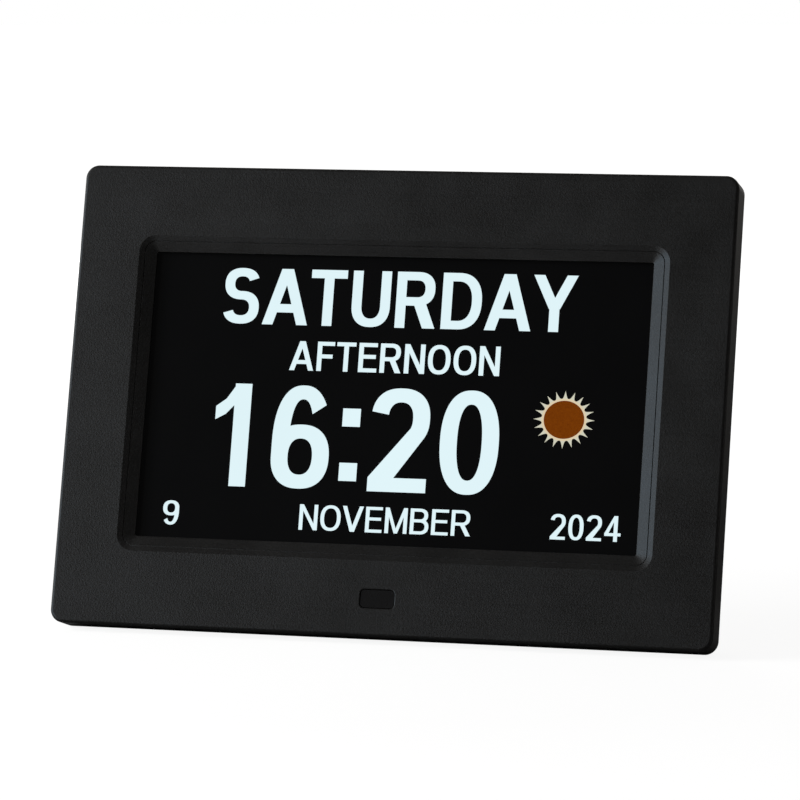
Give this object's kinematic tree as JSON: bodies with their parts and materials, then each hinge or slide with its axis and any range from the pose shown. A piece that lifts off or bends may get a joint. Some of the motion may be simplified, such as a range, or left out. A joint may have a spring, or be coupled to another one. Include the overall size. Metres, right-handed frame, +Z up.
{
  "type": "digital day clock",
  "caption": "Tabletop day clock: wide black case leaning on a fold-out leg, sunk screen border, keys and hanging slots on the back.",
  "frame": {"origin": "middle of the footprint on the table, under the case", "axes": "+X to the clock's right as the viewer sees it, +Y towards the back, +Z up"},
  "size_m": [0.2, 0.0722, 0.1362],
  "materials": {
    "front_plastic": "fine-grained matte black moulding",
    "back_plastic": "spark-textured black moulding",
    "key_plastic": "satin black keys",
    "smoked_plastic": "dark infrared-clear plastic",
    "foam": "soft black foam",
    "steel_sheet": "thin rolled sheet",
    "screen_glass": "dark polarised display glass",
    "clear_plastic": "clear acrylic light guide",
    "screw_steel": "zinc-plated screws",
    "circuit_board": "green solder mask",
    "chip_black": "moulded epoxy",
    "bright_metal": "nickel-plated metal",
    "can_aluminium": "bright drawn can",
    "dark_plastic": "black connector plastic",
    "pale_plastic": "cream connector plastic",
    "ribbon_amber": "amber polyimide film",
    "paper_cone": "black pressed paper",
    "magnet_grey": "ferrite",
    "lead_red": "soft wire insulation",
    "foot_rubber": "soft black rubber"
  },
  "bodies": {
    "case": {"front_bezel": "front_plastic", "ir_window": "smoked_plastic", "screen_gasket": "foam", "lcd_frame": "steel_sheet", "lcd_glass": "screen_glass", "light_guide": "clear_plastic", "lcd_clamps": "steel_sheet", "lcd_clamp_screws": "screw_steel", "rear_cover": "back_plastic", "cover_screws": "screw_steel", "main_board": "circuit_board", "board_screws": "screw_steel", "processor": "chip_black", "memory_chip": "chip_black", "power_chips": "chip_black", "crystal": "bright_metal", "inductor": "chip_black", "capacitors": "can_aluminium", "coin_cell_holder": "dark_plastic", "coin_cell": "bright_metal", "usb_socket": "bright_metal", "usb_tongue": "dark_plastic", "dc_socket": "dark_plastic", "dc_socket_pin": "bright_metal", "card_socket": "bright_metal", "ribbon_sockets": "pale_plastic", "lcd_ribbon": "ribbon_amber", "key_board": "circuit_board", "key_board_screws": "screw_steel", "switch_bodies": "dark_plastic", "key_ribbon": "pale_plastic", "speaker_basket": "steel_sheet", "speaker_cone": "paper_cone", "speaker_magnet": "magnet_grey", "speaker_leads": "lead_red", "ir_board": "circuit_board", "ir_board_screws": "screw_steel", "ir_receiver": "smoked_plastic", "ir_leads": "lead_red", "hinge_pin": "bright_metal"},
    "stand": {"stand_leg": "back_plastic", "foot_pad": "foot_rubber"},
    "button_power": {"key_power": "key_plastic", "plunger_power": "dark_plastic"},
    "button_menu": {"key_menu": "key_plastic", "plunger_menu": "dark_plastic"},
    "button_up": {"key_up": "key_plastic", "plunger_up": "dark_plastic"},
    "button_down": {"key_down": "key_plastic", "plunger_down": "dark_plastic"},
    "button_left": {"key_left": "key_plastic", "plunger_left": "dark_plastic"},
    "button_right": {"key_right": "key_plastic", "plunger_right": "dark_plastic"},
    "button_ok": {"key_ok": "key_plastic", "plunger_ok": "dark_plastic"}
  },
  "joints": [
    {"name": "stand_hinge", "type": "hinge", "parent": "case", "child": "stand", "pos_m": [0, 0.00718, 0.08342], "axis": [-1, 0, 0], "range_deg": [0, 33.5]},
    {"name": "button_power_press", "type": "slide", "parent": "case", "child": "button_power", "axis": [0, -0.9617, 0.274], "range_m": [0, 0.0006], "stiffness_N_per_m": 1200, "springref_m": -0.0005},
    {"name": "button_menu_press", "type": "slide", "parent": "case", "child": "button_menu", "axis": [0, -0.9617, 0.274], "range_m": [0, 0.0006], "stiffness_N_per_m": 1200, "springref_m": -0.0005},
    {"name": "button_up_press", "type": "slide", "parent": "case", "child": "button_up", "axis": [0, -0.9617, 0.274], "range_m": [0, 0.0006], "stiffness_N_per_m": 1200, "springref_m": -0.0005},
    {"name": "button_down_press", "type": "slide", "parent": "case", "child": "button_down", "axis": [0, -0.9617, 0.274], "range_m": [0, 0.0006], "stiffness_N_per_m": 1200, "springref_m": -0.0005},
    {"name": "button_left_press", "type": "slide", "parent": "case", "child": "button_left", "axis": [0, -0.9617, 0.274], "range_m": [0, 0.0006], "stiffness_N_per_m": 1200, "springref_m": -0.0005},
    {"name": "button_right_press", "type": "slide", "parent": "case", "child": "button_right", "axis": [0, -0.9617, 0.274], "range_m": [0, 0.0006], "stiffness_N_per_m": 1200, "springref_m": -0.0005},
    {"name": "button_ok_press", "type": "slide", "parent": "case", "child": "button_ok", "axis": [0, -0.9617, 0.274], "range_m": [0, 0.0006], "stiffness_N_per_m": 1200, "springref_m": -0.0005}
  ]
}
